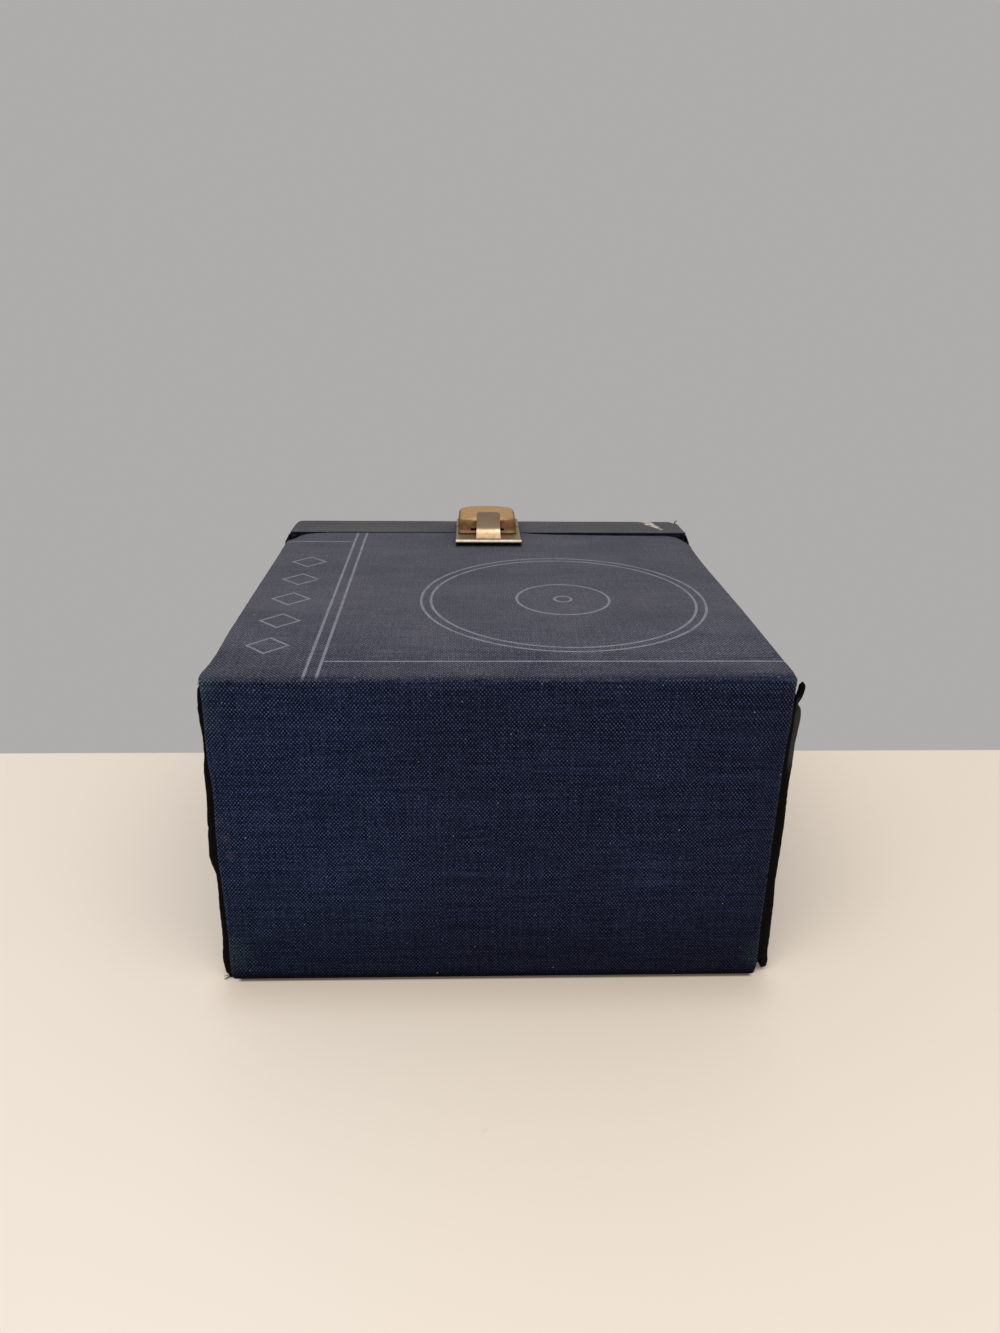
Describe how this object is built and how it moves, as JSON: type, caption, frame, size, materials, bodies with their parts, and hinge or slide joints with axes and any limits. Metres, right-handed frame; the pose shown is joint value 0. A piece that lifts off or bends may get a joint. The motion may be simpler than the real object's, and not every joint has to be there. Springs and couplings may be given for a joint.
{
  "type": "record storage box",
  "caption": "Cloth-covered board box for records, with a back-hinged lid over an inner neck and a brass hasp in front of a sprung tongue.",
  "frame": {"origin": "centre of the footprint, on the plane of the back face that the box lies on", "axes": "+Z out of the front face, -Y out of the bottom of the box, +Y out of the lid's top, +X to the right facing the front with the lid on top"},
  "size_m": [0.2038, 0.211, 0.1365],
  "materials": {
    "navy_cloth": "fine plain-weave book cloth, worn and faded on the front",
    "black_leathercloth": "satin black leathercloth over thin board, frayed at its edges",
    "chipboard": "matte pressed grey chipboard",
    "lining_paper": "matte aged lining paper on paperboard",
    "hinge_tape": "matte woven tape",
    "worn_brass": "satin brass plate, worn bright on its edges",
    "rivet_brass": "dull brass"
  },
  "bodies": {
    "case": {"bottom_board": "chipboard", "front_board": "chipboard", "back_board": "chipboard", "left_board": "chipboard", "right_board": "chipboard", "front_cloth": "navy_cloth", "back_cloth": "navy_cloth", "left_side_cover": "black_leathercloth", "right_side_cover": "black_leathercloth", "front_liner": "lining_paper", "back_liner": "lining_paper", "left_liner": "lining_paper", "right_liner": "lining_paper", "base_lining": "lining_paper", "body_hinge_tape": "hinge_tape", "body_clasp_plate": "worn_brass", "body_left_rivet": "rivet_brass", "body_right_rivet": "rivet_brass"},
    "lid": {"lid_top_board": "chipboard", "lid_front_board": "chipboard", "lid_back_board": "chipboard", "lid_left_board": "chipboard", "lid_right_board": "chipboard", "lid_cloth": "navy_cloth", "lid_back_cloth": "navy_cloth", "lid_left_side_cover": "black_leathercloth", "lid_right_side_cover": "black_leathercloth", "lid_top_lining": "lining_paper", "lid_hinge_tape": "hinge_tape", "lid_clasp_plate": "worn_brass", "lid_left_rivet": "rivet_brass", "lid_right_rivet": "rivet_brass", "hasp_pin": "rivet_brass"},
    "hasp": {"hasp_hood": "worn_brass"},
    "tongue": {"spring_tongue": "worn_brass"}
  },
  "joints": [
    {"name": "lid_hinge", "type": "hinge", "parent": "case", "child": "lid", "pos_m": [0, 0.0825, 0], "axis": [-1, 0, 0], "range_deg": [0, 105]},
    {"name": "hasp_hinge", "type": "hinge", "parent": "lid", "child": "hasp", "pos_m": [0, 0.0955, 0.1278], "axis": [-1, 0, 0], "range_deg": [0, 120]},
    {"name": "tongue_flex", "type": "hinge", "parent": "case", "child": "tongue", "pos_m": [0, 0.0581, 0.1267], "axis": [1, 0, 0], "range_deg": [0, 10], "stiffness_Nm_per_rad": 0.1}
  ]
}
